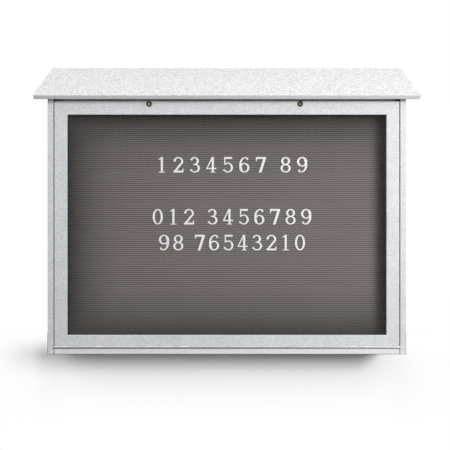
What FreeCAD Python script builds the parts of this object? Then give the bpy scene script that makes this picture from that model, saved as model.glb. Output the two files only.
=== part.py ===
import FreeCAD, Part
import math
import os
import Sketcher

# Lockable notice board: a shallow cabinet of recycled-plastic boards under a sloping roof panel.
# Its framed window is a door that is hinged along the bottom and held shut by two cam locks.
# X is to the right, the front looks to -Y and Z is up. Lengths are in millimetres.
# The origin is the centre of the wall-screw pattern on the back face.

Vector = FreeCAD.Vector
doc = FreeCAD.newDocument("notice_board")


# Driving dimensions

drivingSizes = {
    "roof_width": 1143.0,
    "roof_thick": 12.7,
    "roof_pitch": 39.3,
    "roof_side_reach": 35.0,
    "roof_front_reach": 24.3,
    "cabinet_depth": 139.7,
    "eave_height": 757.9,
    "board_thick": 18.0,
    "back_thick": 12.7,
    "edge_round": 2.5,
    "roof_round": 1.5,
    "door_thick": 19.0,
    "door_side_gap": 2.0,
    "door_top_gap": 1.0,
    "stile_width": 38.5,
    "top_rail_width": 40.4,
    "bottom_rail_width": 32.3,
    "frame_lip": 7.0,
    "pane_thick": 6.0,
    "pane_lap": 8.0,
    "pane_gap": 0.3,
    "bead_width": 14.0,
    "bead_gap": 0.3,
    "key_length": 18.0,
    "key_width": 8.0,
    "key_thick": 4.0,
    "key_gap": 0.1,
    "key_front": 7.5,
    "key_place": 0.46,
    "barrel_diameter": 6.4,
    "barrel_proud": 1.0,
    "barrel_end_gap": 0.5,
    "knuckle_count": 41,
    "knuckle_gap": 0.3,
    "leaf_thick": 1.2,
    "leaf_width": 16.0,
    "leaf_notch_gap": 0.4,
    "pin_radius": 1.55,
    "running_gap": 0.05,
    "lock_spread": 452.0,
    "lock_aside": 6.4,
    "lock_drop": 8.5,
    "lock_face_radius": 8.0,
    "lock_face_thick": 2.0,
    "lock_barrel_radius": 6.0,
    "lock_barrel_tail": 5.0,
    "lock_hole_gap": 0.2,
    "plug_radius": 4.0,
    "plug_recess": 0.4,
    "tang_width": 5.0,
    "nut_flats": 15.0,
    "nut_thick": 3.5,
    "key_slot_width": 1.2,
    "key_slot_length": 5.4,
    "key_slot_depth": 3.0,
    "cam_length": 28.0,
    "cam_width": 12.0,
    "cam_thick": 2.5,
    "cam_gap": 0.3,
    "cam_screw_radius": 1.5,
    "cam_screw_head": 4.2,
    "cam_screw_thick": 2.4,
    "cam_screw_depth": 10.0,
    "header_gap": 0.4,
    "keeper_side_gap": 2.0,
    "keeper_face_gap": 2.5,
    "cam_screw_slot": 1.0,
    "letter_face_set": 35.0,
    "letter_thick": 9.5,
    "letter_edge_gap": 1.0,
    "letter_above_window": 17.0,
    "letter_screw_inset": 18.0,
    "groove_pitch": 6.35,
    "groove_depth": 3.2,
    "groove_mouth": 2.6,
    "groove_floor": 1.6,
    "cleat_width": 38.0,
    "cleat_thick": 19.0,
    "stop_width": 12.7,
    "seal_thick": 1.2,
    "seal_width": 9.0,
    "seal_gap": 0.3,
    "roof_cleat_start": 50.0,
    "roof_cleat_end_gap": 6.0,
    "rail_height": 89.0,
    "wall_hole_span_x": 812.8,
    "wall_hole_span_z": 609.6,
    "wall_hole_radius": 4.5,
    "numeral_height": 47.6,
    "numeral_width": 31.0,
    "numeral_thick": 3.0,
    "numeral_tongue": 2.6,
    "numeral_tongue_thick": 1.2,
    "numeral_shift": 15.8,
    "row_high_width": 460.0,
    "row_mid_width": 485.0,
    "row_low_width": 447.0,
    "row_high_base": 160.4,
    "row_mid_base": 1.5,
    "row_low_base": -77.7,
    "screw_radius": 2.1,
    "screw_head_radius": 4.2,
    "screw_head_thick": 2.4,
    "screw_gap": 0.05,
    "screw_bite": 13.0,
    "side_screw_length": 45.0,
    "side_screw_inset": 30.0,
    "back_screw_length": 38.0,
    "rail_screw_inset": 36.0,
    "cleat_screw_end": 90.0,
    "roof_cleat_screw_end": 6.0,
    "roof_cleat_screw_share": 0.62,
    "roof_screw_length": 27.0,
    "roof_screw_front_end": 10.0,
    "roof_screw_back_end": 26.0,
    "letter_screw_length": 22.0,
    "letter_screw_end": 40.0,
    "small_screw_radius": 1.4,
    "small_screw_head_radius": 2.8,
    "small_screw_head_thick": 1.1,
    "stop_screw_length": 24.0,
    "stop_screw_end": 50.0,
    "hinge_screw_length": 13.0,
    "hinge_screw_end": 30.0,
    "hinge_screw_stagger": 20.0,
    "bead_screw_length": 11.0,
    "bead_screw_end": 35.0,
    "cut_through": 1.0,
}

sheet = doc.addObject("Spreadsheet::Sheet", "Sizes")
for row, (alias, value) in enumerate(drivingSizes.items(), start=1):
    sheet.set(f"A{row}", alias)
    sheet.set(f"B{row}", str(value))
    sheet.setAlias(f"B{row}", alias)

# Places that follow from the sizes. Heights are above the origin.

workedPlaces = {
    "front": "-Sizes.cabinet_depth",
    "body_back": "-Sizes.back_thick",
    "half_width": "Sizes.roof_width / 2 - Sizes.roof_side_reach",
    "half_inside": "half_width - Sizes.board_thick",
    "window_low_height": "Sizes.board_thick + Sizes.barrel_diameter + Sizes.bottom_rail_width",
    "window_high_height": "Sizes.eave_height - Sizes.door_top_gap - Sizes.top_rail_width",
    "low": "-(window_low_height + window_high_height) / 2",
    "floor_top": "low + Sizes.board_thick",
    "eave_low": "low + Sizes.eave_height",
    "eave_front": "front - Sizes.roof_front_reach",
    "eave_top": "eave_low + Sizes.roof_thick * cos(Sizes.roof_pitch * 1deg)",
    "eave_under_y": "eave_front + Sizes.roof_thick * sin(Sizes.roof_pitch * 1deg)",
    "slope": "tan(Sizes.roof_pitch * 1deg)",
    "under_front": "eave_low + (front - eave_under_y) * slope",
    "under_body_back": "eave_low + (body_back - eave_under_y) * slope",
    "under_back": "eave_low - eave_under_y * slope",
    "roof_back_top": "eave_top - eave_front * slope",
    "top_board_top": "eave_low + Sizes.board_thick",
    "door_half": "half_inside - Sizes.door_side_gap",
    "door_low": "floor_top + Sizes.barrel_diameter",
    "door_top": "eave_low - Sizes.door_top_gap",
    "door_back": "front + Sizes.door_thick",
    "top_board_front": "door_back + Sizes.header_gap",
    "window_half": "door_half - Sizes.stile_width",
    "window_low": "low + window_low_height",
    "window_high": "low + window_high_height",
    "pane_front": "front + Sizes.frame_lip",
    "pane_back": "pane_front + Sizes.pane_thick",
    "pin_y": "front - Sizes.barrel_proud",
    "pin_z": "floor_top + Sizes.barrel_diameter / 2",
    "barrel_half": "half_inside - Sizes.barrel_end_gap",
    "knuckle_pitch": "2 * barrel_half / Sizes.knuckle_count",
    "leaf_front": "pin_y + Sizes.barrel_diameter / 2 + Sizes.leaf_notch_gap",
    "leaf_back": "front + Sizes.leaf_width",
    "lock_z": "door_top - Sizes.lock_drop",
    "lock_left": "-Sizes.lock_spread / 2 - Sizes.lock_aside",
    "lock_right": "Sizes.lock_spread / 2 - Sizes.lock_aside",
    "nut_back": "door_back + Sizes.nut_thick",
    "lock_tail": "nut_back + Sizes.lock_barrel_tail",
    "cam_front": "lock_tail + Sizes.cam_gap",
    "cam_back": "cam_front + Sizes.cam_thick",
    "letter_face": "front + Sizes.letter_face_set",
    "letter_back": "letter_face + Sizes.letter_thick",
    "letter_half": "half_inside - Sizes.letter_edge_gap",
    "letter_low": "floor_top + Sizes.letter_edge_gap",
    "letter_high": "window_high + Sizes.letter_above_window",
    "cleat_back": "letter_back + Sizes.cleat_thick",
    "stop_front": "door_back + Sizes.seal_gap + Sizes.seal_thick",
    "rail_front": "body_back - Sizes.board_thick",
    "roof_cleat_front": "front + Sizes.roof_cleat_start",
    "roof_cleat_back": "body_back - Sizes.roof_cleat_end_gap",
    "roof_cleat_drop": "Sizes.cleat_thick / cos(Sizes.roof_pitch * 1deg)",
}

placeSheet = doc.addObject("Spreadsheet::Sheet", "Places")
for row, (alias, formula) in enumerate(workedPlaces.items(), start=1):
    placeSheet.set(f"A{row}", alias)
    placeSheet.set(f"B{row}", "=" + formula)
    placeSheet.setAlias(f"B{row}", alias)
doc.recompute()


def size(alias):
    # The number in a driving cell
    return float(drivingSizes[alias])


def place(alias):
    # The number in a worked-out cell
    value = placeSheet.get(alias)
    return float(getattr(value, "Value", value))


# Ways to make a piece

parts = []


def keep(piece, label):
    # Puts a finished piece under its own name on the list of what is written out
    piece.Label = label
    parts.append(piece)
    return piece


def bindAll(item, expressions):
    for path, expression in expressions.items():
        item.setExpression(path, expression)


def polygonSketch(body, name, plane, points):
    # A closed outline of straight lines, with each corner held at its own two expressions
    sketch = body.newObject("Sketcher::SketchObject", name)
    support = next(item for item in body.Origin.OriginFeatures if item.Role == plane + "_Plane")
    sketch.AttachmentSupport = [(support, "")]
    sketch.MapMode = "FlatFace"
    values = []
    for across, up in points:
        pair = [sketch.evalExpression(across), sketch.evalExpression(up)]
        values.append([float(getattr(value, "Value", value)) for value in pair])
    count = len(values)
    for index in range(count):
        start = values[index]
        end = values[(index + 1) % count]
        sketch.addGeometry(Part.LineSegment(Vector(start[0], start[1], 0), Vector(end[0], end[1], 0)), False)
    for index in range(count):
        sketch.addConstraint(Sketcher.Constraint("Coincident", index, 2, (index + 1) % count, 1))
    for index, (across, up) in enumerate(points):
        for kind, expression, value in (("DistanceX", across, values[index][0]),
                                        ("DistanceY", up, values[index][1])):
            constraint = sketch.addConstraint(Sketcher.Constraint(kind, -1, 1, index, 1, value))
            sketch.setExpression(f"Constraints[{constraint}]", expression)
    return sketch


def rectangle(left, low, right, high):
    return [(left, low), (right, low), (right, high), (left, high)]


axisOfPlane = {"XY": "z", "XZ": "y", "YZ": "x"}


def slab(name, plane, points, length, start):
    # A padded outline. On the XZ plane it grows towards the front from start, which is its back face
    body = doc.addObject("PartDesign::Body", name)
    pad = body.newObject("PartDesign::Pad", name + "_pad")
    pad.Profile = polygonSketch(body, name + "_outline", plane, points)
    pad.setExpression("Length", length)
    body.setExpression("Placement.Base." + axisOfPlane[plane], start)
    doc.recompute()
    return body


def cutRecess(body, name, plane, points, depth):
    # A recess from the sketch plane into the solid
    before = body.Shape.Volume
    recess = body.newObject("PartDesign::Pocket", name)
    recess.Profile = polygonSketch(body, name + "_outline", plane, points)
    recess.Reversed = True
    recess.setExpression("Length", depth)
    doc.recompute()
    if body.Shape.Volume > before - 1:
        raise RuntimeError(name + " cut nothing")


def roundEdges(body, radius, wanted):
    # Rounds the straight edges whose middle point and direction pass the test
    base = body.Tip
    names = []
    for index, edge in enumerate(base.Shape.Edges, start=1):
        if edge.Curve.TypeId != "Part::GeomLine":
            continue
        middle = edge.valueAt((edge.FirstParameter + edge.LastParameter) / 2)
        if wanted(middle, edge.tangentAt(edge.FirstParameter)):
            names.append(f"Edge{index}")
    fillet = body.newObject("PartDesign::Fillet", body.Name + "_round")
    fillet.Base = (base, names)
    fillet.setExpression("Radius", radius)
    doc.recompute()


def near(value, target):
    return abs(value - target) < 0.01


def along(direction, axis):
    return abs(abs(getattr(direction, axis)) - 1) < 1e-6


def solidGroup(name, solids):
    # Loose solids that share one node, such as a set of equal screws
    group = doc.addObject("Part::Feature", name)
    group.Shape = Part.Compound(solids) if len(solids) > 1 else solids[0]
    return group


def drilled(body, *tools):
    # The body less the holes of every tool
    holes = doc.addObject("Part::Compound", body.Name + "_holes")
    holes.Links = list(tools)
    cut = doc.addObject("Part::Cut", body.Name + "_drilled")
    cut.Base = body
    cut.Tool = holes
    return cut


def rod(name, radius, start, end, x, z):
    # A cylinder along Y between two places
    item = doc.addObject("Part::Cylinder", name)
    item.Placement = FreeCAD.Placement(Vector(0, 0, 0), FreeCAD.Rotation(Vector(1, 0, 0), -90))
    bindAll(item, {"Radius": radius, "Height": f"({end}) - ({start})",
                   "Placement.Base.x": x, "Placement.Base.y": start, "Placement.Base.z": z})
    return item


def block(name, low, high):
    # A box between two corners of three expressions each
    item = doc.addObject("Part::Box", name)
    bindAll(item, {"Length": f"({high[0]}) - ({low[0]})", "Width": f"({high[1]}) - ({low[1]})",
                   "Height": f"({high[2]}) - ({low[2]})", "Placement.Base.x": low[0],
                   "Placement.Base.y": low[1], "Placement.Base.z": low[2]})
    return item


def cutFrom(name, base, *tools):
    result = base
    for index, tool in enumerate(tools):
        cut = doc.addObject("Part::Cut", f"{name}_cut_{index}")
        cut.Base = result
        cut.Tool = tool
        result = cut
    return result


def fused(name, *shapes):
    union = doc.addObject("Part::MultiFuse", name + "_union")
    union.Shapes = list(shapes)
    return union


# Screws. A screw is drawn from its seat: the head stands before the seat, the shank goes into it.

def screwSolid(seat, direction, length, small=False):
    prefix = "small_screw" if small else "screw"
    shankRadius = size(prefix + "_radius")
    headRadius = size(prefix + "_head_radius")
    headThick = size(prefix + "_head_thick")
    tipLength = shankRadius
    tip = seat + direction * length
    shank = Part.makeCylinder(shankRadius, length - tipLength, seat, direction)
    point = Part.makeCone(shankRadius, shankRadius / 3, tipLength, tip - direction * tipLength, direction)
    headTop = seat - direction * headThick
    head = Part.makeCylinder(headRadius, headThick, headTop, direction)
    rim = [edge for edge in head.Edges
           if edge.isClosed() and near(edge.CenterOfMass.distanceToPoint(headTop), 0)]
    head = head.makeChamfer(headThick / 3, rim)
    socket = Part.makeCylinder(headRadius / 2, headThick / 2, headTop, direction)
    return head.fuse([shank, point]).cut(socket).removeSplitter()


def screwHole(seat, direction, length, small=False):
    # The shank's hole, and room for the head where it is sunk
    prefix = "small_screw" if small else "screw"
    gap = size("screw_gap")
    return Part.makeCylinder(size(prefix + "_radius") + gap, length + gap, seat, direction)


def headRoom(seat, direction, small=False):
    prefix = "small_screw" if small else "screw"
    gap = size("screw_gap") * 4
    depth = size(prefix + "_head_thick") * 2
    return Part.makeCylinder(size(prefix + "_head_radius") + gap, depth, seat - direction * depth, direction)


def screwSet(name, seats, direction, length, small=False, sunk=False):
    # Equal screws in one node, and the holes that take them
    screws = [screwSolid(seat, direction, length, small) for seat in seats]
    keep(solidGroup(name, screws), name)
    holes = [screwHole(seat, direction, length, small) for seat in seats]
    if sunk:
        holes += [headRoom(seat, direction, small) for seat in seats]
    return solidGroup(name + "_holes", holes)


def evenly(first, last, count):
    step = (last - first) / (count - 1)
    return [first + step * index for index in range(count)]


right = Vector(1, 0, 0)
up = Vector(0, 0, 1)
back = Vector(0, 1, 0)
mirrorSides = (-1, 1)
headThick = size("screw_head_thick")
boardThick = size("board_thick")


# Cabinet screws

boardMiddles = [place("low") + boardThick / 2, place("eave_low") + boardThick / 2]
boardDepths = [place("top_board_front") + size("side_screw_inset"),
               place("body_back") - size("side_screw_inset")]
sideHoles = {}
sideScrews = []
for side in mirrorSides:
    inward = right * -side
    seatX = side * (place("half_width") - headThick)
    seats = [Vector(seatX, y, z) for z in boardMiddles for y in boardDepths]
    sideScrews += [screwSolid(seat, inward, size("side_screw_length")) for seat in seats]
    holes = [screwHole(seat, inward, size("side_screw_length")) for seat in seats]
    holes += [headRoom(seat, inward) for seat in seats]
    sideHoles[side] = solidGroup(f"side_holes_{'left' if side < 0 else 'right'}", holes)
keep(solidGroup("side_screws", sideScrews), "side_screws")

edgeX = place("half_width") - boardThick / 2
edgeHeights = evenly(place("low") + 3 * boardThick, place("eave_low") - boardThick, 4)
backSeats = [Vector(side * edgeX, 0, z) for side in mirrorSides for z in edgeHeights]
backSeats += [Vector(x, 0, z) for x in evenly(-edgeX / 2, edgeX / 2, 3) for z in boardMiddles]
railHeights = [size("wall_hole_span_z") / 2, -size("wall_hole_span_z") / 2]
railScrewX = size("wall_hole_span_x") / 2 - size("rail_screw_inset")
backSeats += [Vector(x, 0, z) for x in evenly(-railScrewX, railScrewX, 3) for z in railHeights]
railScrewLength = size("back_thick") + size("screw_bite") - headThick
backScrews = []
backHoleSolids = []
for seat in backSeats:
    sunkSeat = seat - back * headThick
    length = railScrewLength if abs(seat.z) in railHeights else size("back_screw_length")
    backScrews.append(screwSolid(sunkSeat, -back, length))
    backHoleSolids.append(screwHole(sunkSeat, -back, length))
    backHoleSolids.append(headRoom(sunkSeat, -back))
keep(solidGroup("back_screws", backScrews), "back_screws")
backHoles = solidGroup("back_holes", backHoleSolids)

wallHoleXs = [side * size("wall_hole_span_x") / 2 for side in mirrorSides]
wallHoles = solidGroup("wall_holes", [
    Part.makeCylinder(size("wall_hole_radius"), size("back_thick") + boardThick + 2 * size("cut_through"),
                      Vector(x, size("cut_through"), z), -back)
    for x in wallHoleXs for z in railHeights])

# Letter-board and roof cleats, screwed to the side boards from inside

cleatMiddleY = (place("letter_back") + place("cleat_back")) / 2
cleatThick = size("cleat_thick")
roofTurn = math.radians(size("roof_pitch"))
roofNormal = Vector(0, -math.sin(roofTurn), math.cos(roofTurn))


def roofUnder(y):
    return place("eave_low") + (y - place("eave_under_y")) * place("slope")


cleatScrews = []
cleatHoleSolids = []
cleatHeights = evenly(place("letter_low") + size("cleat_screw_end"),
                      place("letter_high") - size("cleat_screw_end"), 3)
roofCleatDepths = (place("roof_cleat_front") + size("roof_cleat_screw_end"),
                   place("roof_cleat_back") - size("roof_cleat_screw_end"))
for side in mirrorSides:
    outward = right * side
    sunkX = side * (place("half_inside") - size("cleat_width") + headThick)
    sunkSeats = [Vector(sunkX, cleatMiddleY, z) for z in cleatHeights]
    sunkLength = size("cleat_width") - headThick + size("screw_bite")
    openX = side * (place("half_inside") - cleatThick)
    openSeats = [Vector(openX, y, roofUnder(y) - place("roof_cleat_drop") * size("roof_cleat_screw_share"))
                 for y in roofCleatDepths]
    openLength = cleatThick + size("screw_bite")
    for seats, length in ((sunkSeats, sunkLength), (openSeats, openLength)):
        cleatScrews += [screwSolid(seat, outward, length) for seat in seats]
        cleatHoleSolids += [screwHole(seat, outward, length) for seat in seats]
    cleatHoleSolids += [headRoom(seat, outward) for seat in sunkSeats]
keep(solidGroup("cleat_screws", cleatScrews), "cleat_screws")
cleatHoles = solidGroup("cleat_holes", cleatHoleSolids)

roofSeats = []
for side in mirrorSides:
    for y in (place("roof_cleat_front") + size("roof_screw_front_end"),
              place("roof_cleat_back") - size("roof_screw_back_end")):
        foot = Vector(side * (place("half_inside") - cleatThick / 2), y, roofUnder(y))
        roofSeats.append(foot - roofNormal * cleatThick)
roofHoles = screwSet("roof_screws", roofSeats, roofNormal, size("roof_screw_length"))


# Screws of the letter board, door stops, hinge and beads

letterScrewX = place("half_inside") - size("cleat_width") + size("letter_screw_inset")
letterSeats = [Vector(side * letterScrewX, place("letter_face"), z) for side in mirrorSides
               for z in evenly(place("letter_low") + size("letter_screw_end"),
                               place("letter_high") - size("letter_screw_end"), 4)]
letterHoles = screwSet("letter_board_screws", letterSeats, back, size("letter_screw_length"))

stopMiddleY = (place("stop_front") + place("letter_face")) / 2
stopScrews = []
stopHoleSolids = []
stopScrewLow = place("floor_top") + size("stop_width") - size("small_screw_head_thick")
stopScrewX = place("half_inside") - size("stop_width") + size("small_screw_head_thick")
stopHeights = evenly(place("floor_top") + size("stop_screw_end"),
                     place("letter_high") - size("stop_screw_end"), 4)
stopPlan = [(Vector(side * stopScrewX, stopMiddleY, z), right * side)
            for side in mirrorSides for z in stopHeights]
stopReach = place("half_inside") - size("stop_width") - size("stop_screw_end")
stopPlan += [(Vector(x, stopMiddleY, stopScrewLow), -up) for x in evenly(-stopReach, stopReach, 5)]
for seat, direction in stopPlan:
    stopScrews.append(screwSolid(seat, direction, size("stop_screw_length"), small=True))
    stopHoleSolids.append(screwHole(seat, direction, size("stop_screw_length"), small=True))
    stopHoleSolids.append(headRoom(seat, direction, small=True))
keep(solidGroup("stop_screws", stopScrews), "stop_screws")
stopHoles = solidGroup("stop_holes", stopHoleSolids)

leafMiddle = (place("leaf_front") + place("leaf_back")) / 2
leafInner = size("barrel_diameter") / 2 - size("leaf_thick")
hingeScrewReach = place("barrel_half") - size("hinge_screw_end")
hingeScrewXs = evenly(-hingeScrewReach, hingeScrewReach, 9)
hingeLowHoles = screwSet("hinge_cabinet_screws",
                         [Vector(x, leafMiddle, place("pin_z") - leafInner) for x in hingeScrewXs],
                         -up, size("hinge_screw_length"), small=True)
hingeDoorHoles = screwSet("hinge_door_screws",
                          [Vector(x + size("hinge_screw_stagger"), leafMiddle, place("pin_z") + leafInner)
                           for x in hingeScrewXs[:-1]],
                          up, size("hinge_screw_length"), small=True)

beadLine = (size("pane_lap") + size("bead_width")) / 2
beadSeatY = place("door_back") - size("small_screw_head_thick")
beadEnd = size("bead_screw_end")
beadXs = evenly(-place("window_half") + beadEnd, place("window_half") - beadEnd, 5)
beadZs = evenly(place("window_low") + beadEnd, place("window_high") - beadEnd, 4)
beadSeats = [Vector(x, beadSeatY, z) for x in beadXs
             for z in (place("window_low") - beadLine, place("window_high") + beadLine)]
beadSeats += [Vector(side * (place("window_half") + beadLine), beadSeatY, z)
              for side in mirrorSides for z in beadZs]
beadHoles = screwSet("bead_screws", beadSeats, -back, size("bead_screw_length"), small=True, sunk=True)


# Corner keys across the mitres, and the pockets that take them

def keyBlock(side, top, grow):
    outer = Vector(side * place("door_half"), 0, place("door_top") if top else place("door_low"))
    inner = Vector(side * place("window_half"), 0, place("window_high") if top else place("window_low"))
    middle = outer + (inner - outer) * size("key_place")
    way = (outer - inner).normalize()
    turn = -math.degrees(math.atan2(way.z, way.x))
    wide = size("key_width") + 2 * grow
    thick = size("key_thick") + 2 * grow
    long = size("key_length") + 2 * grow
    shape = Part.makeBox(wide, thick, long, Vector(-wide / 2, 0, -long / 2))
    shape.rotate(Vector(0, 0, 0), Vector(0, 1, 0), turn)
    shape.translate(Vector(middle.x, place("front") + size("key_front") - grow, middle.z))
    return shape


keySpots = [(side, top) for side in mirrorSides for top in (False, True)]
keep(solidGroup("corner_keys", [keyBlock(side, top, 0) for side, top in keySpots]), "corner_keys")
keyPockets = solidGroup("key_pockets", [keyBlock(side, top, size("key_gap")) for side, top in keySpots])

lockXs = [place("lock_left"), place("lock_right")]
lockHoles = [solidGroup("lock_holes", [
    Part.makeCylinder(size("lock_barrel_radius") + size("lock_hole_gap"),
                      size("door_thick") + 2 * size("cut_through"),
                      Vector(x, place("front") - size("cut_through"), place("lock_z")), back)
    for x in lockXs])]


# Cabinet boards. The two side boards and the bottom board meet in mitres at the lower corners.

def onFront(middle, way):
    return near(middle.y, place("front"))


for side, label, outer, inner in ((-1, "left_side_board", "0", "Sizes.board_thick"),
                                  (1, "right_side_board", "Sizes.board_thick", "0")):
    board = slab(label + "_blank", "YZ", [
        ("Places.front", "Places.low"), ("Places.body_back", "Places.low"),
        ("Places.body_back", "Places.under_body_back"), ("Places.front", "Places.under_front")],
        "Sizes.board_thick", "-Places.half_width" if side < 0 else "Places.half_inside")
    roundEdges(board, "Sizes.edge_round", lambda middle, way: onFront(middle, way) and along(way, "z"))
    cutRecess(board, label + "_mitre", "XZ",
              [(outer, "Places.low"), (inner, "Places.low"), (inner, "Places.floor_top")],
              "Sizes.cabinet_depth")
    keep(drilled(board, sideHoles[side], backHoles, cleatHoles, stopHoles), label)

bottomBoard = slab("bottom_board_blank", "XZ", [
    ("-Places.half_width", "Places.low"), ("Places.half_width", "Places.low"),
    ("Places.half_inside", "Places.floor_top"), ("-Places.half_inside", "Places.floor_top")],
    "Places.body_back - Places.front", "Places.body_back")
depthInSketch = place("body_back") - place("front")
roundEdges(bottomBoard, "Sizes.edge_round",
           lambda middle, way: near(middle.y, -depthInSketch) and along(way, "x"))
keep(drilled(bottomBoard, sideHoles[-1], sideHoles[1], backHoles, stopHoles, hingeLowHoles), "bottom_board")

topBoard = slab("top_board_blank", "YZ",
                rectangle("Places.top_board_front", "Places.eave_low",
                          "Places.body_back", "Places.top_board_top"),
                "2 * Places.half_inside", "-Places.half_inside")
keeperSlots = []
for label in ("left", "right"):
    lockX = f"Places.lock_{label}"
    keeperSlots.append(block(label + "_keeper_slot",
        (f"{lockX} - Sizes.cam_width / 2 - Sizes.keeper_side_gap",
         "Places.cam_front - Sizes.keeper_face_gap", "Places.eave_low - Sizes.cut_through"),
        (f"{lockX} + Sizes.cam_length + Sizes.keeper_side_gap",
         "Places.cam_back + Sizes.keeper_face_gap", "Places.top_board_top + Sizes.cut_through")))
keep(drilled(topBoard, sideHoles[-1], sideHoles[1], backHoles, *keeperSlots), "top_board")

roofPanel = slab("roof_panel_blank", "YZ", [
    ("Places.eave_front", "Places.eave_top"), ("Places.eave_under_y", "Places.eave_low"),
    ("0", "Places.under_back"), ("0", "Places.roof_back_top")],
    "Sizes.roof_width", "-Sizes.roof_width / 2")
roundEdges(roofPanel, "Sizes.roof_round", lambda middle, way: not near(middle.y, 0))
keep(drilled(roofPanel, roofHoles), "roof_panel")

backPanel = slab("back_panel_blank", "YZ", [
    ("Places.body_back", "Places.low"), ("0", "Places.low"),
    ("0", "Places.under_back"), ("Places.body_back", "Places.under_body_back")],
    "2 * Places.half_width", "-Places.half_width")
keep(drilled(backPanel, backHoles, wallHoles), "back_panel")

for label, height in (("upper_mounting_rail", "Sizes.wall_hole_span_z / 2"),
                      ("lower_mounting_rail", "-Sizes.wall_hole_span_z / 2")):
    rail = slab(label + "_blank", "YZ",
                rectangle("Places.rail_front", height + " - Sizes.rail_height / 2",
                          "Places.body_back", height + " + Sizes.rail_height / 2"),
                "2 * Places.half_inside", "-Places.half_inside")
    keep(drilled(rail, backHoles, wallHoles), label)

for side, label in ((-1, "left"), (1, "right")):
    inner = "-Places.half_inside" if side < 0 else "Places.half_inside - Sizes.cleat_width"
    cleat = slab(label + "_board_cleat_blank", "XY",
                 rectangle(inner, "Places.letter_back", inner + " + Sizes.cleat_width", "Places.cleat_back"),
                 "Places.letter_high - Places.floor_top", "Places.floor_top")
    keep(drilled(cleat, cleatHoles, letterHoles), label + "_board_cleat")
    inner = "-Places.half_inside" if side < 0 else "Places.half_inside - Sizes.cleat_thick"
    cleat = slab(label + "_roof_cleat_blank", "YZ", [
        (f"{place_y}", f"Places.eave_low + ({place_y} - Places.eave_under_y) * Places.slope - {drop}")
        for place_y, drop in (("Places.roof_cleat_front", "0"), ("Places.roof_cleat_back", "0"),
                              ("Places.roof_cleat_back", "Places.roof_cleat_drop"),
                              ("Places.roof_cleat_front", "Places.roof_cleat_drop"))],
                 "Sizes.cleat_thick", inner)
    keep(drilled(cleat, cleatHoles, roofHoles), label + "_roof_cleat")


# Door stops with a seal on their front faces. The letter board sits against their backs.

stopInner = "Places.half_inside - Sizes.stop_width"
stopBlanks = {
    "left_door_stop": rectangle("-Places.half_inside", "Places.floor_top",
                                "-(" + stopInner + ")", "Places.letter_high"),
    "right_door_stop": rectangle(stopInner, "Places.floor_top", "Places.half_inside", "Places.letter_high"),
    "bottom_door_stop": rectangle("-(" + stopInner + ")", "Places.floor_top",
                                  stopInner, "Places.floor_top + Sizes.stop_width"),
}
for label, outline in stopBlanks.items():
    stop = slab(label + "_blank", "XZ", outline,
                "Places.letter_face - Places.stop_front", "Places.letter_face")
    keep(drilled(stop, stopHoles), label)

sealInset = (size("stop_width") - size("seal_width")) / 2
sealStrips = []
stripLength = place("letter_high") - place("floor_top") - 2 * sealInset
for side in mirrorSides:
    left = side * (place("half_inside") - size("stop_width") / 2) - size("seal_width") / 2
    corner = Vector(left, place("stop_front") - size("seal_thick"), place("floor_top") + sealInset)
    sealStrips.append(Part.makeBox(size("seal_width"), size("seal_thick"), stripLength, corner))
sealHalf = place("half_inside") - size("stop_width")
corner = Vector(-sealHalf, place("stop_front") - size("seal_thick"), place("floor_top") + sealInset)
sealStrips.append(Part.makeBox(2 * sealHalf, size("seal_thick"), size("seal_width"), corner))
keep(solidGroup("door_seal", sealStrips), "door_seal")


# Letter board: a grooved panel, with wide-mouthed slots at an even pitch over its whole height

def letterBoardSolid():
    face = place("letter_face")
    rear = place("letter_back")
    low = place("letter_low")
    high = place("letter_high")
    pitch = size("groove_pitch")
    mouth = size("groove_mouth")
    floor = size("groove_floor")
    deep = size("groove_depth")
    count = int((high - low - pitch) // pitch)
    corners = [Vector(0, rear, low), Vector(0, face, low)]
    for index in range(count):
        middle = low + pitch * (index + 1)
        for offset, depth in ((-mouth / 2, 0), (-floor / 2, deep), (floor / 2, deep), (mouth / 2, 0)):
            corners.append(Vector(0, face + depth, middle + offset))
    corners += [Vector(0, face, high), Vector(0, rear, high)]
    shift = Vector(-place("letter_half"), 0, 0)
    outline = Part.makePolygon([corner + shift for corner in corners + corners[:1]])
    return Part.Face(outline).extrude(Vector(2 * place("letter_half"), 0, 0))


letterBoard = solidGroup("letter_board_blank", [letterBoardSolid()])
keep(drilled(letterBoard, letterHoles), "letter_board")


# Numerals: plain serif figures. Places on a figure are shares of its height, from its left foot.

figureWide = size("numeral_width") / size("numeral_height")
thickStroke = 0.135
thinStroke = 0.075
serifHigh = 0.05


def onFigure(x, z):
    return Vector(x, 0, z) * size("numeral_height")


def raised(outline):
    return Part.Face(Part.Wire(outline)).extrude(back * size("numeral_thick"))


def oval(x, z, halfWide, halfHigh):
    centre = onFigure(x, z)
    wide = onFigure(x + halfWide, z)
    high = onFigure(x, z + halfHigh)
    if halfWide < halfHigh:
        wide, high = high, onFigure(x - halfWide, z)
    return raised([Part.Ellipse(wide, high, centre).toShape()])


def ring(x, z, halfWide, halfHigh):
    # A bowl with thick sides and a thin top and bottom
    inner = oval(x, z, halfWide - thickStroke, halfHigh - thinStroke)
    return oval(x, z, halfWide, halfHigh).cut(inner)


def flat(*corners):
    points = [onFigure(x, z) for x, z in corners]
    return raised(Part.makePolygon(points + points[:1]).Edges)


def bar(left, low, rightEnd, high):
    return flat((left, low), (rightEnd, low), (rightEnd, high), (left, high))


def ball(x, z):
    radius = thickStroke / 2 * size("numeral_height")
    return Part.makeCylinder(radius, size("numeral_thick"), onFigure(x, z), back)


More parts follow.
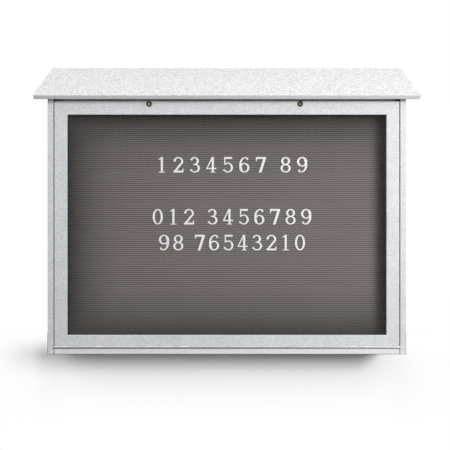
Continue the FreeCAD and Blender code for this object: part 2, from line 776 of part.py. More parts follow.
def figureSix():
    bowl = ring(figureWide / 2, 0.31, figureWide / 2, 0.31)
    spine = ring(figureWide / 2 + 0.05, 0.5, figureWide / 2 + 0.05, 0.5)
    spine = spine.cut([bar(figureWide * 0.62, -0.1, 1, 0.87), bar(figureWide * 0.86, -0.1, 1, 1.1),
                       bar(0.2, -0.1, 1, 0.5)])
    return bowl.fuse([spine, ball(figureWide * 0.80, 0.87)])


def figureShapes():
    middle = figureWide / 2
    shapes = {"0": ring(middle, 0.5, middle, 0.5)}
    stem = bar(middle - thickStroke / 2, 0, middle + thickStroke / 2, 1)
    foot = bar(middle - 0.2, 0, middle + 0.2, serifHigh)
    flag = flat((middle, 1), (middle - 0.21, 0.87), (middle - 0.21, 0.82), (middle, 0.88))
    shapes["1"] = stem.fuse([foot, flag])
    bowl = ring(middle, 0.70, middle - 0.01, 0.30)
    bowl = bowl.cut([bar(-0.1, 0.3, middle, 0.74), bar(-0.1, 0.3, 1, 0.60)])
    leg = flat((middle + 0.13, 0.61), (middle + 0.30, 0.62), (0.19, 0.09), (0.01, 0.06))
    base = flat((0.01, 0), (figureWide, 0), (figureWide, 0.26), (figureWide - 0.05, 0.26),
                (figureWide - 0.09, 0.12), (0.01, 0.12))
    shapes["2"] = bowl.fuse([leg, base, ball(0.09, 0.76)])
    upper = ring(middle - 0.02, 0.745, middle - 0.05, 0.255).cut(bar(-0.1, 0.42, middle - 0.04, 0.88))
    lower = ring(middle, 0.28, middle, 0.28).cut(bar(-0.1, 0.12, middle - 0.04, 0.7))
    tie = bar(middle - 0.10, 0.49, middle + 0.02, 0.55)
    shapes["3"] = upper.fuse([lower, tie, ball(0.11, 0.845), ball(0.09, 0.16)])
    stemLeft = figureWide - 0.30
    slant = flat((stemLeft, 1), (stemLeft + 0.09, 1), (0.08, 0.27), (0, 0.27))
    cross = bar(0, 0.22, figureWide, 0.30)
    stem = bar(stemLeft, 0, stemLeft + thickStroke, 1)
    foot = bar(stemLeft - 0.09, 0, stemLeft + thickStroke + 0.09, serifHigh)
    shapes["4"] = stem.fuse([slant, cross, foot])
    bowl = ring(middle, 0.32, middle, 0.32).cut(bar(-0.1, 0.13, middle - 0.14, 0.7))
    stalk = bar(0.09, 0.50, 0.09 + thinStroke, 0.95)
    shoulder = flat((0.09, 0.50), (0.20, 0.57), (0.20, 0.63), (0.09, 0.56))
    head = bar(0.09, 0.88, figureWide - 0.05, 1)
    shapes["5"] = bowl.fuse([stalk, shoulder, head, ball(0.09, 0.16)])
    shapes["6"] = figureSix()
    head = bar(0.01, 0.88, figureWide, 1)
    leg = flat((figureWide - 0.17, 0.9), (figureWide, 0.9), (0.36, 0), (0.19, 0))
    drop = flat((0.01, 0.88), (0.01, 0.74), (0.06, 0.74), (0.10, 0.88))
    shapes["7"] = head.fuse([leg, drop])
    shapes["8"] = ring(middle, 0.745, middle - 0.04, 0.255).fuse(ring(middle, 0.275, middle, 0.275))
    shapes["9"] = figureSix()
    shapes["9"].rotate(onFigure(middle, 0.5), back, 180)
    return {name: shape.removeSplitter() for name, shape in shapes.items()}


def tongueSlices(baseHeight):
    # Thin level slices, one in each of two grooves, that stand where a row's tongues are
    height = size("numeral_height")
    pitch = size("groove_pitch")
    thick = size("numeral_tongue_thick")
    slices = []
    for share in (0.25, 0.75):
        groove = round((baseHeight + share * height - place("letter_low")) / pitch)
        low = place("letter_low") + groove * pitch - baseHeight - thick / 2
        slices.append(Part.makeBox(3 * height, size("numeral_thick"), thick, Vector(-height, 0, low)))
    return slices


def numeralSolids(words, rowWidth, baseHeight):
    # Equal figures with a wider space between the words. Tongues behind each one reach into grooves.
    wordSpace = 0.5
    steps = sum(wordSpace if character == " " else 1 for character in words) - 1
    step = (rowWidth - size("numeral_width")) / steps
    x = size("numeral_shift") - rowWidth / 2
    slices = tongueSlices(baseHeight)
    solids = []
    for character in words:
        if character == " ":
            x += step * wordSpace
            continue
        tongues = []
        for piece in figures[character].common(Part.Compound(slices)).Solids:
            rear = max(piece.Faces, key=lambda face: face.CenterOfMass.y)
            tongues.append(rear.extrude(back * size("numeral_tongue")))
        figure = figures[character].fuse(tongues)
        figure.translate(Vector(x, place("letter_face") - size("numeral_thick"), baseHeight))
        solids += figure.Solids
        x += step
    return solids


figures = figureShapes()
rows = (("numerals_upper_row", "1234567 89", "row_high_width", "row_high_base"),
        ("numerals_middle_row", "012 3456789", "row_mid_width", "row_mid_base"),
        ("numerals_lower_row", "98 76543210", "row_low_width", "row_low_base"))
for label, words, rowWidth, base in rows:
    keep(solidGroup(label, numeralSolids(words, size(rowWidth), size(base))), label)


# Door frame: four boards mitred corner to corner, with two steps cut in their backs for pane and beads

innerCorners = rectangle("-Places.window_half", "Places.window_low",
                         "Places.window_half", "Places.window_high")
outerCorners = rectangle("-Places.door_half", "Places.door_low", "Places.door_half", "Places.door_top")
lowLeft, lowRight, highRight, highLeft = range(4)
doorBoards = {
    "door_top_rail": (highLeft, highRight),
    "door_bottom_rail": (lowRight, lowLeft),
    "door_left_stile": (lowLeft, highLeft),
    "door_right_stile": (highRight, lowRight),
}


def aroundWindow(reach):
    return rectangle(f"-Places.window_half - {reach}", f"Places.window_low - {reach}",
                     f"Places.window_half + {reach}", f"Places.window_high + {reach}")


def doorFrontEdge(middle, way):
    return near(middle.y, -size("door_thick")) and (along(way, "x") or along(way, "z"))


for label, (first, last) in doorBoards.items():
    outline = [innerCorners[first], innerCorners[last], outerCorners[last], outerCorners[first]]
    board = slab(label + "_blank", "XZ", outline, "Sizes.door_thick", "Places.door_back")
    roundEdges(board, "Sizes.edge_round", doorFrontEdge)
    cutRecess(board, label + "_pane_step", "XZ", aroundWindow("Sizes.pane_lap"),
              "Sizes.door_thick - Sizes.frame_lip")
    cutRecess(board, label + "_bead_step", "XZ", aroundWindow("Sizes.bead_width"),
              "Sizes.door_thick - Sizes.frame_lip - Sizes.pane_thick")
    holes = [keyPockets, beadHoles]
    if label == "door_top_rail":
        holes += lockHoles
    if label == "door_bottom_rail":
        holes.append(hingeDoorHoles)
    keep(drilled(board, *holes), label)

paneReach = "(Sizes.pane_lap - Sizes.pane_gap)"
pane = slab("window_pane_body", "XZ", aroundWindow(paneReach), "Sizes.pane_thick", "Places.pane_back")
keep(pane, "window_pane")

beadReach = "(Sizes.bead_width - Sizes.bead_gap)"
beadLeft = f"-Places.window_half - {beadReach}"
beadRight = f"Places.window_half + {beadReach}"
beadOutlines = {
    "top_glazing_bead": rectangle(beadLeft, "Places.window_high",
                                  beadRight, f"Places.window_high + {beadReach}"),
    "bottom_glazing_bead": rectangle(beadLeft, f"Places.window_low - {beadReach}",
                                     beadRight, "Places.window_low"),
    "left_glazing_bead": rectangle(beadLeft, "Places.window_low",
                                   "-Places.window_half", "Places.window_high"),
    "right_glazing_bead": rectangle("Places.window_half", "Places.window_low",
                                    beadRight, "Places.window_high"),
}
for label, outline in beadOutlines.items():
    bead = slab(label + "_blank", "XZ", outline, "Places.door_back - Places.pane_back", "Places.door_back")
    keep(drilled(bead, beadHoles), label)


# Locks: body and nut stay in the door; the plug, its cam and the cam's screw turn together

for label in ("left", "right"):
    lockX = f"Places.lock_{label}"
    lockZ = "Places.lock_z"
    flangeFront = "Places.front - Sizes.lock_face_thick"
    name = label + "_lock"
    flange = rod(name + "_flange", "Sizes.lock_face_radius", flangeFront, "Places.front", lockX, lockZ)
    barrel = rod(name + "_barrel", "Sizes.lock_barrel_radius", "Places.front", "Places.lock_tail",
                 lockX, lockZ)
    bore = rod(name + "_bore", "Sizes.plug_radius + Sizes.running_gap",
               flangeFront + " - Sizes.cut_through", "Places.lock_tail + Sizes.cut_through", lockX, lockZ)
    keep(cutFrom(name + "_body", fused(name + "_body", flange, barrel), bore), name + "_body")

    plugFront = "Places.front - Sizes.lock_face_thick + Sizes.plug_recess"
    plug = rod(name + "_plug_rod", "Sizes.plug_radius", plugFront, "Places.cam_front", lockX, lockZ)
    tang = block(name + "_tang",
                 (f"{lockX} - Sizes.tang_width / 2", "Places.cam_front", f"{lockZ} - Sizes.tang_width / 2"),
                 (f"{lockX} + Sizes.tang_width / 2", "Places.cam_back", f"{lockZ} + Sizes.tang_width / 2"))
    keySlot = block(name + "_key_slot",
                    (f"{lockX} - Sizes.key_slot_width / 2", plugFront + " - Sizes.cut_through",
                     f"{lockZ} - Sizes.key_slot_length / 2"),
                    (f"{lockX} + Sizes.key_slot_width / 2", plugFront + " + Sizes.key_slot_depth",
                     f"{lockZ} + Sizes.key_slot_length / 2"))
    screwBore = rod(name + "_screw_bore", "Sizes.cam_screw_radius + Sizes.screw_gap",
                    "Places.cam_back - Sizes.cam_screw_depth", "Places.cam_back + Sizes.cut_through",
                    lockX, lockZ)
    keep(cutFrom(name + "_plug", fused(name + "_plug", plug, tang), keySlot, screwBore), name + "_plug")

    camHub = rod(name + "_cam_hub", "Sizes.cam_width / 2", "Places.cam_front", "Places.cam_back",
                 lockX, lockZ)
    camArm = block(name + "_cam_arm",
                   (lockX, "Places.cam_front", f"{lockZ} - Sizes.cam_width / 2"),
                   (f"{lockX} + Sizes.cam_length - Sizes.cam_width / 2", "Places.cam_back",
                    f"{lockZ} + Sizes.cam_width / 2"))
    camTip = rod(name + "_cam_tip", "Sizes.cam_width / 2", "Places.cam_front", "Places.cam_back",
                 f"{lockX} + Sizes.cam_length - Sizes.cam_width / 2", lockZ)
    holeHalf = "(Sizes.tang_width / 2 + Sizes.running_gap)"
    camSquare = block(name + "_cam_square",
                      (f"{lockX} - {holeHalf}", "Places.cam_front - Sizes.cut_through",
                       f"{lockZ} - {holeHalf}"),
                      (f"{lockX} + {holeHalf}", "Places.cam_back + Sizes.cut_through",
                       f"{lockZ} + {holeHalf}"))
    keep(cutFrom(name + "_cam", fused(name + "_cam", camHub, camArm, camTip), camSquare), name + "_cam")

    shank = rod(name + "_screw_shank", "Sizes.cam_screw_radius",
                "Places.cam_back - Sizes.cam_screw_depth + Sizes.cut_through", "Places.cam_back",
                lockX, lockZ)
    head = rod(name + "_screw_head", "Sizes.cam_screw_head", "Places.cam_back",
               "Places.cam_back + Sizes.cam_screw_thick", lockX, lockZ)
    camSlot = block(name + "_screw_slot",
                    (f"{lockX} - Sizes.cam_screw_head - Sizes.cut_through",
                     "Places.cam_back + Sizes.cam_screw_thick / 2", f"{lockZ} - Sizes.cam_screw_slot / 2"),
                    (f"{lockX} + Sizes.cam_screw_head + Sizes.cut_through",
                     "Places.cam_back + Sizes.cam_screw_thick + Sizes.cut_through",
                     f"{lockZ} + Sizes.cam_screw_slot / 2"))
    keep(cutFrom(name + "_cam_screw", fused(name + "_cam_screw", shank, head), camSlot), name + "_cam_screw")


def lockNut(x):
    # A hexagonal nut on the lock barrel, flat against the back of the rail
    flats = size("nut_flats")
    corner = flats / math.sqrt(3)
    centre = Vector(x, place("door_back"), place("lock_z"))
    ends = [centre + Vector(corner * math.cos(turn), 0, corner * math.sin(turn))
            for turn in (math.radians(60 * index) for index in range(6))]
    prism = Part.Face(Part.makePolygon(ends + ends[:1])).extrude(back * size("nut_thick"))
    hole = Part.makeCylinder(size("lock_barrel_radius") + size("running_gap"), 2 * size("nut_thick"),
                             centre - back * size("nut_thick") / 2, back)
    return prism.cut(hole)


keep(solidGroup("lock_nuts", [lockNut(x) for x in lockXs]), "lock_nuts")


# Continuous hinge: two leaves with alternate knuckles on one pin

barrelRadius = "Sizes.barrel_diameter / 2"
for label, turn, first in (("hinge_cabinet_leaf", -1, 0), ("hinge_door_leaf", 1, 1)):
    outer = f"Places.pin_z + {turn} * {barrelRadius}"
    inner = f"Places.pin_z + {turn} * ({barrelRadius} - Sizes.leaf_thick)"
    lowEdge, highEdge = (outer, inner) if turn < 0 else (inner, outer)
    leaf = slab(label + "_body", "YZ",
                rectangle("Places.leaf_front", lowEdge, "Places.leaf_back", highEdge),
                "2 * Places.barrel_half", "-Places.barrel_half")
    knuckleSketch = leaf.newObject("Sketcher::SketchObject", label + "_knuckle_outline")
    plane = next(item for item in leaf.Origin.OriginFeatures if item.Role == "YZ_Plane")
    knuckleSketch.AttachmentSupport = [(plane, "")]
    knuckleSketch.MapMode = "FlatFace"
    knuckleSketch.setExpression("AttachmentOffset.Base.z",
                                f"{first} * Places.knuckle_pitch + Sizes.knuckle_gap / 2")
    pinCentre = Vector(place("pin_y"), place("pin_z"), 0)
    knuckleSketch.addGeometry(Part.Circle(pinCentre, up, 1), False)
    for kind, expression, value in (("DistanceX", "Places.pin_y", place("pin_y")),
                                    ("DistanceY", "Places.pin_z", place("pin_z"))):
        constraint = knuckleSketch.addConstraint(Sketcher.Constraint(kind, -1, 1, 0, 3, value))
        knuckleSketch.setExpression(f"Constraints[{constraint}]", expression)
    constraint = knuckleSketch.addConstraint(Sketcher.Constraint("Radius", 0, size("barrel_diameter") / 2))
    knuckleSketch.setExpression(f"Constraints[{constraint}]", barrelRadius)
    knuckle = leaf.newObject("PartDesign::Pad", label + "_knuckle")
    knuckle.Profile = knuckleSketch
    knuckle.setExpression("Length", "Places.knuckle_pitch - Sizes.knuckle_gap")
    tabSketch = polygonSketch(leaf, label + "_tab_outline", "YZ",
                              rectangle("Places.pin_y", lowEdge, "Places.leaf_front", highEdge))
    tabSketch.setExpression("AttachmentOffset.Base.z",
                            f"{first} * Places.knuckle_pitch + Sizes.knuckle_gap / 2")
    tab = leaf.newObject("PartDesign::Pad", label + "_tab")
    tab.Profile = tabSketch
    tab.setExpression("Length", "Places.knuckle_pitch - Sizes.knuckle_gap")
    pattern = leaf.newObject("PartDesign::LinearPattern", label + "_row")
    pattern.Originals = [knuckle, tab]
    xAxis = next(item for item in leaf.Origin.OriginFeatures if item.Role == "X_Axis")
    pattern.Direction = (xAxis, [""])
    count = f"(Sizes.knuckle_count {'+' if first == 0 else '-'} 1) / 2"
    pattern.setExpression("Occurrences", f"floor({count})")
    pattern.setExpression("Length", f"2 * Places.knuckle_pitch * (floor({count}) - 1)")
    leaf.Tip = pattern
    doc.recompute()
    pinHole = doc.addObject("Part::Cylinder", label + "_pin_hole")
    pinHole.Placement = FreeCAD.Placement(Vector(0, 0, 0), FreeCAD.Rotation(Vector(0, 1, 0), 90))
    bindAll(pinHole, {"Radius": "Sizes.pin_radius + Sizes.running_gap", "Height": "2 * Places.half_inside",
                      "Placement.Base.x": "-Places.half_inside", "Placement.Base.y": "Places.pin_y",
                      "Placement.Base.z": "Places.pin_z"})
    keep(drilled(leaf, pinHole, hingeLowHoles if turn < 0 else hingeDoorHoles), label)

pin = doc.addObject("Part::Cylinder", "hinge_pin_rod")
pin.Placement = FreeCAD.Placement(Vector(0, 0, 0), FreeCAD.Rotation(Vector(0, 1, 0), 90))
bindAll(pin, {"Radius": "Sizes.pin_radius", "Height": "2 * Places.barrel_half",
              "Placement.Base.x": "-Places.barrel_half", "Placement.Base.y": "Places.pin_y",
              "Placement.Base.z": "Places.pin_z"})
keep(pin, "hinge_pin")


# Every piece is tested before any is written

doc.recompute()
for item in doc.Objects:
    if "Invalid" in item.State or "Error" in item.State:
        raise RuntimeError(item.Name + " did not compute")
for piece in parts:
    shape = piece.Shape
    if shape.isNull() or not shape.isValid() or not shape.Solids:
        raise RuntimeError(piece.Label + " is not a sound solid")

os.makedirs("parts", exist_ok=True)
for piece in parts:
    piece.Shape.exportStep(f"parts/{piece.Label}.step")
print(len(parts), "pieces written")
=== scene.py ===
import math

import bmesh
import bpy
import numpy as np
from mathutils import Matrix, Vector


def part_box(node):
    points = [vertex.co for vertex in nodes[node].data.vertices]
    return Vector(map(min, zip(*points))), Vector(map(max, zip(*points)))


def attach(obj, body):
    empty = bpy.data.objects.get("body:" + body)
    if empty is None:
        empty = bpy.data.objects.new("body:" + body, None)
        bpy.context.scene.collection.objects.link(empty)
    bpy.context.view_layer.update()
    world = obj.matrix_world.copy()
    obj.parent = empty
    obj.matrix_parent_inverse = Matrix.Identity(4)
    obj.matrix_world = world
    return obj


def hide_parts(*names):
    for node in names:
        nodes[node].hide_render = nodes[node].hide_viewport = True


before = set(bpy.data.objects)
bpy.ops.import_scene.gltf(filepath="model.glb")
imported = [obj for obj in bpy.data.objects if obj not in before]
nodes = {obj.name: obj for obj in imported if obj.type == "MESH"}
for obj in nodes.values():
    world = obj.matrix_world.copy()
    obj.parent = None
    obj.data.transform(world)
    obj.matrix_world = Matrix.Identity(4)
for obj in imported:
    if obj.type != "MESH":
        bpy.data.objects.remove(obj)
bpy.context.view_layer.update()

# A lockable notice board: pale plastic boards, a sloping roof, and a grooved felt letter board behind
# a hinged window. Metres throughout. X right, front at -Y, Z up, zero at the middle of the wall screws
# on the back.

acrossX = np.array((1.0, 0.0, 0.0))
deepY = np.array((0.0, 1.0, 0.0))
upZ = np.array((0.0, 0.0, 1.0))


def span(node):
    # lowest and highest corner of a CAD node, as arrays
    low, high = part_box(node)
    return np.array(low), np.array(high)


faceY = span("left_side_board")[0][1]    # front of the cabinet
print("frame loaded,", len(nodes), "nodes, front at", round(float(faceY), 4))


# Camera, level with the middle of the window

view = {"lens": 38.03, "sensor": 36.0, "aside": -0.0055, "reach": 1.422}

eye = bpy.data.cameras.new("camera")
eye.lens = view["lens"]
eye.sensor_width = view["sensor"]
camera = bpy.data.objects.new("camera", eye)
camera.location = (view["aside"], faceY - view["reach"], 0.0)
camera.rotation_euler = (math.pi / 2, 0.0, 0.0)
bpy.context.scene.collection.objects.link(camera)
bpy.context.scene.camera = camera
print("camera placed")


# Surfaces as arrays

def noiseAt(points, cell, seed):
    # smooth value noise from 0 to 1: hashed numbers on a cubic lattice of that cell size,
    # blended between the eight nearest ones with 3t^2 - 2t^3 along each axis
    scaled = points / cell
    base = np.floor(scaled).astype(np.int64)
    part = scaled - base
    part = part * part * (3 - 2 * part)
    total = np.zeros(points.shape[:-1])
    for corner in range(8):
        step = np.array((corner & 1, corner >> 1 & 1, corner >> 2 & 1))
        key = ((base + step) * np.array((73856093, 19349663, 83492791))).sum(-1) + seed * 97531
        key = (key ^ (key >> 13)) * 1274126177
        key = (key ^ (key >> 16)) & 65535
        total += key / 65535 * np.where(step == 1, part, 1 - part).prod(-1)
    return total


def gridFaces(rows, columns, closeRows, closeColumns):
    # corners of the quads of a grid whose last row or column may join its first
    index = np.arange(rows * columns).reshape(rows, columns)
    if closeColumns:
        index = np.hstack((index, index[:, :1]))
    if closeRows:
        index = np.vstack((index, index[:1]))
    corners = (index[:-1, :-1], index[:-1, 1:], index[1:, 1:], index[1:, :-1])
    return np.stack(corners, -1).reshape(-1, 4)


meshing = {"sharpAngle": 35.0, "arcPoints": 7, "bevelSegments": 2, "bevelAngle": 40.0, "merge": 1e-6,
           "flatAngle": 1.0}


def meshFrom(name, grids, sharpAngle=meshing["sharpAngle"]):
    # one object from grids of points: (points, closeRows, closeColumns, capped), where a capped grid
    # is a tube whose two end rings get a face each
    vertices = []
    faces = []
    start = 0
    for points, closeRows, closeColumns, capped in grids:
        rows, columns = points.shape[:2]
        faces += (gridFaces(rows, columns, closeRows, closeColumns) + start).tolist()
        if capped:
            ring = np.arange(columns)
            faces.append((ring[::-1] + start).tolist())
            faces.append((ring + start + (rows - 1) * columns).tolist())
        vertices.append(points.reshape(-1, 3))
        start += rows * columns
    mesh = bpy.data.meshes.new(name)
    mesh.from_pydata(np.vstack(vertices), [], faces)
    return finishMesh(name, mesh, sharpAngle)


def finishMesh(name, mesh, sharpAngle):
    # normals outwards, smooth shading with sharp edges kept, linked into the scene
    work = bmesh.new()
    work.from_mesh(mesh)
    bmesh.ops.recalc_face_normals(work, faces=work.faces)
    work.to_mesh(mesh)
    work.free()
    mesh.polygons.foreach_set("use_smooth", np.ones(len(mesh.polygons), bool))
    mesh.set_sharp_from_angle(angle=math.radians(sharpAngle))
    piece = bpy.data.objects.new(name, mesh)
    bpy.context.scene.collection.objects.link(piece)
    return piece


def roundedOutline(corners, radii, step):
    # closed outline: straight runs between corners, divided evenly, and an arc of each corner's own radius,
    # whose ends lie radius * tan(turn / 2) from the corner
    corners = np.array(corners, float)
    count = len(corners)
    points = []
    for index in range(count):
        here = corners[index]
        before = corners[index - 1] - here
        after = corners[(index + 1) % count] - here
        before = before / np.linalg.norm(before)
        after = after / np.linalg.norm(after)
        half = math.acos(np.clip(before @ after, -1, 1)) / 2
        radius = radii[index]
        if radius == 0:
            arc = here[None]
        else:
            middle = (before + after) / np.linalg.norm(before + after)
            centre = here + middle * radius / math.sin(half)
            reach = math.pi / 2 - half
            turns = np.linspace(-reach, reach, meshing["arcPoints"])
            cross = after - middle * (after @ middle)
            cross = cross / np.linalg.norm(cross)
            arc = centre + radius * (np.sin(turns)[:, None] * cross - np.cos(turns)[:, None] * middle)
        points.append(arc)
    outline = []
    for index in range(count):
        outline.append(points[index])
        start = points[index][-1]
        end = points[(index + 1) % count][0]
        pieces = max(1, round(np.linalg.norm(end - start) / step))
        share = np.linspace(0, 1, pieces + 1)[1:-1, None]
        outline.append(start + (end - start) * share)
    return np.vstack(outline)


def outwardNormals(outline):
    # unit normals of a closed outline, from the chord between each point's neighbours
    chord = np.roll(outline, -1, 0) - np.roll(outline, 1, 0)
    normal = np.stack((chord[:, 1], -chord[:, 0]), 1)
    normal = normal / np.linalg.norm(normal, axis=1)[:, None]
    ahead = np.roll(outline, -1, 0)
    area = (outline[:, 0] * ahead[:, 1] - ahead[:, 0] * outline[:, 1]).sum()
    return normal if area > 0 else -normal


pebble = {"fine": 0.0055, "fineSeed": 3, "fineShare": 0.6, "coarse": 0.014, "coarseSeed": 8,
          "height": 0.00022, "roofHeight": 0.0004}


def carried(outline, axes, origin, ends, step, height=0.0):
    # P(t, k) = origin + along * s(t, k) + across * u(k) + deep * v(k), where s runs evenly between two
    # end planes, each start + a * u + b * v, and noise pushes the skin in along the outline's normals
    along, across, deep = axes
    u, v = outline.T
    first = ends[0][0] + ends[0][1] * u + ends[0][2] * v
    last = ends[1][0] + ends[1][1] * u + ends[1][2] * v
    rows = max(2, round(abs(last - first).max() / step) + 1)
    t = np.linspace(0, 1, rows)[:, None]
    run = first + (last - first) * t
    points = origin + run[..., None] * along + u[:, None] * across + v[:, None] * deep
    if height:
        normal = outwardNormals(outline)
        outward = normal[:, :1] * across + normal[:, 1:] * deep
        fine = noiseAt(points, pebble["fine"], pebble["fineSeed"])
        coarse = noiseAt(points, pebble["coarse"], pebble["coarseSeed"])
        relief = pebble["fineShare"] * fine + (1 - pebble["fineShare"]) * coarse
        points = points - ((1 - relief) * height)[..., None] * outward
    return points


def softened(piece, width):
    # a small bevel along every edge that turns more than the bevel's angle
    bevel = piece.modifiers.new("softened", "BEVEL")
    bevel.width = width
    bevel.segments = meshing["bevelSegments"]
    bevel.limit_method = "ANGLE"
    bevel.angle_limit = math.radians(meshing["bevelAngle"])
    return piece


def place(piece, body, replaced):
    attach(piece, body)
    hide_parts(replaced)


def castFrom(node, name, width):
    # a copy of a CAD node with its triangles merged and its edges softened
    mesh = nodes[node].data.copy()
    mesh.materials.clear()
    work = bmesh.new()
    work.from_mesh(mesh)
    bmesh.ops.remove_doubles(work, verts=work.verts, dist=meshing["merge"])
    bmesh.ops.dissolve_limit(work, angle_limit=math.radians(meshing["flatAngle"]), verts=work.verts,
                             edges=work.edges)
    work.to_mesh(mesh)
    work.free()
    return softened(finishMesh(name, mesh, meshing["sharpAngle"]), width)


# Shader graphs: a wire is a node's output that takes part in plain arithmetic

def operatorFor(operation, swapped=False):
    def apply(wire, other):
        pair = (other, wire) if swapped else (wire, other)
        return wire.graph.node("ShaderNodeMath", {"operation": operation}, dict(enumerate(pair)))
    return apply


class Wire:
    def __init__(self, graph, socket):
        self.graph = graph
        self.socket = socket

    __add__ = operatorFor("ADD")
    __radd__ = operatorFor("ADD", True)
    __sub__ = operatorFor("SUBTRACT")
    __rsub__ = operatorFor("SUBTRACT", True)
    __mul__ = operatorFor("MULTIPLY")
    __rmul__ = operatorFor("MULTIPLY", True)
    __truediv__ = operatorFor("DIVIDE")
    __rtruediv__ = operatorFor("DIVIDE", True)
    __pow__ = operatorFor("POWER")
    __rpow__ = operatorFor("POWER", True)

    def call(self, operation, other=0.0):
        return operatorFor(operation)(self, other)


class Graph:
    def __init__(self, tree, outputKind):
        self.nodes = tree.nodes
        self.links = tree.links
        self.nodes.clear()
        self.end = self.nodes.new(outputKind)

    def feed(self, socket, value):
        if isinstance(value, Wire):
            self.links.new(value.socket, socket)
        else:
            socket.default_value = value

    def node(self, kind, settings=None, sockets=None, give=0):
        # settings go first, then the sockets' values or links; gives the wire of one output
        made = self.nodes.new(kind)
        for key, value in (settings or {}).items():
            setattr(made, key, value)
        for key, value in (sockets or {}).items():
            self.feed(made.inputs[key], value)
        return Wire(self, made.outputs[give])

    def place(self):
        return self.node("ShaderNodeTexCoord", give="Object")

    def noise(self, where, size, detail=2.0, roughness=0.5):
        # size is the width of a grain in metres
        sockets = {"Vector": where, "Scale": 1 / size, "Detail": detail, "Roughness": roughness}
        return self.node("ShaderNodeTexNoise", {}, sockets)

    def cells(self, where, size):
        # how far the nearest of scattered points lies
        return self.node("ShaderNodeTexVoronoi", {}, {"Vector": where, "Scale": 1 / size}, "Distance")

    def stretched(self, where, scale):
        return self.node("ShaderNodeMapping", {}, {"Vector": where, "Scale": scale})

    def spread(self, value, low, high, newLow=0.0, newHigh=1.0):
        sockets = {"Value": value, "From Min": low, "From Max": high, "To Min": newLow, "To Max": newHigh}
        return self.node("ShaderNodeMapRange", {"interpolation_type": "SMOOTHSTEP"}, sockets)

    def between(self, share, first, second):
        # a colour mixed from two
        return self.node("ShaderNodeMix", {"data_type": "RGBA"}, {0: share, 6: first, 7: second}, 2)

    def dimmed(self, colour, share):
        # a colour times one number
        grey = self.node("ShaderNodeCombineColor", {}, dict(enumerate((share,) * 3)))
        return self.node("ShaderNodeMix", {"data_type": "RGBA", "blend_type": "MULTIPLY"},
                         {0: 1.0, 6: colour, 7: grey}, 2)

    def axis(self, vector, letter):
        # one of a vector's three numbers
        split = self.node("ShaderNodeSeparateXYZ", {}, {0: vector})
        return Wire(self, split.socket.node.outputs[letter])

    def facing(self):
        # 1 where the surface looks up, -1 where it looks down
        return self.axis(self.node("ShaderNodeNewGeometry", give="Normal"), "Z")

    def ray(self, kind):
        # 1 for a ray of that kind
        return self.node("ShaderNodeLightPath", give="Is " + kind + " Ray")

    def bump(self, height, depth):
        return self.node("ShaderNodeBump", {}, {"Height": height, "Distance": depth, "Strength": 1.0})

    def finish(self, shader):
        self.links.new(shader.socket, self.end.inputs["Surface"])


def paint(red, green, blue):
    # a screen colour, 0 to 255, as the linear colour that a shader takes
    shares = np.array((red, green, blue)) / 255
    linear = np.where(shares <= 0.04045, shares / 12.92, ((shares + 0.055) / 1.055) ** 2.4)
    return (*linear.tolist(), 1.0)


def material(name, recipe):
    made = bpy.data.materials.new(name)
    made.use_nodes = True
    graph = Graph(made.node_tree, "ShaderNodeOutputMaterial")
    graph.finish(recipe(graph))
    return made


def principled(graph, **sockets):
    names = {key.replace("_", " "): value for key, value in sockets.items()}
    return graph.node("ShaderNodeBsdfPrincipled", {}, names)


# Finishes: tones as screen colours, grains by their width, and shares, in one dictionary beside each recipe.
# A finish's grain runs over its range from the dark tone to the pale one, and its roughness is
# rough + rougher * grain.

def twoTone(graph, grain, finish):
    return graph.between(graph.spread(grain, *finish["range"]), finish["dark"], finish["pale"])


def coat(graph, colour, grain, relief, finish, **sockets):
    return principled(graph, Base_Color=colour, Roughness=finish["rough"] + finish["rougher"] * grain,
                      Normal=graph.bump(relief, finish["relief"]), **sockets)


# its darkest tone is painted shade, laid under the boards and inside the gaps beside the door
boardFinish = {"dark": paint(203, 205, 209), "pale": paint(234, 235, 237), "range": (0.34, 0.66),
               "grain": 0.0036, "blotch": 0.045, "blotchShare": 0.2, "rough": 0.42, "rougher": 0.2,
               "fleck": paint(158, 160, 165), "fleckCell": 0.009, "fleckRim": (0.10, 0.05),
               "fleckPatch": 0.03, "patchRange": (0.5, 0.62), "fleckShare": 0.45,
               "paintedShadeTone": paint(72, 72, 74), "underside": (-0.3, -0.85), "undersideShare": 0.45,
               "gapHalf": (0.0017, 0.0012), "gapEnd": 0.002, "gapShare": 0.75,
               "grainRelief": 0.7, "pit": 0.0024, "pitRelief": 0.5, "relief": 0.00035}
# the bottom board's lighter tones are painted light
paintedLighterShelfFinish = {**boardFinish, "dark": paint(228, 229, 233), "pale": paint(246, 246, 249)}
sideGap = (span("left_door_stop")[0][0] + span("door_left_stile")[0][0]) / 2
doorBack = span("door_left_stile")[1][1]


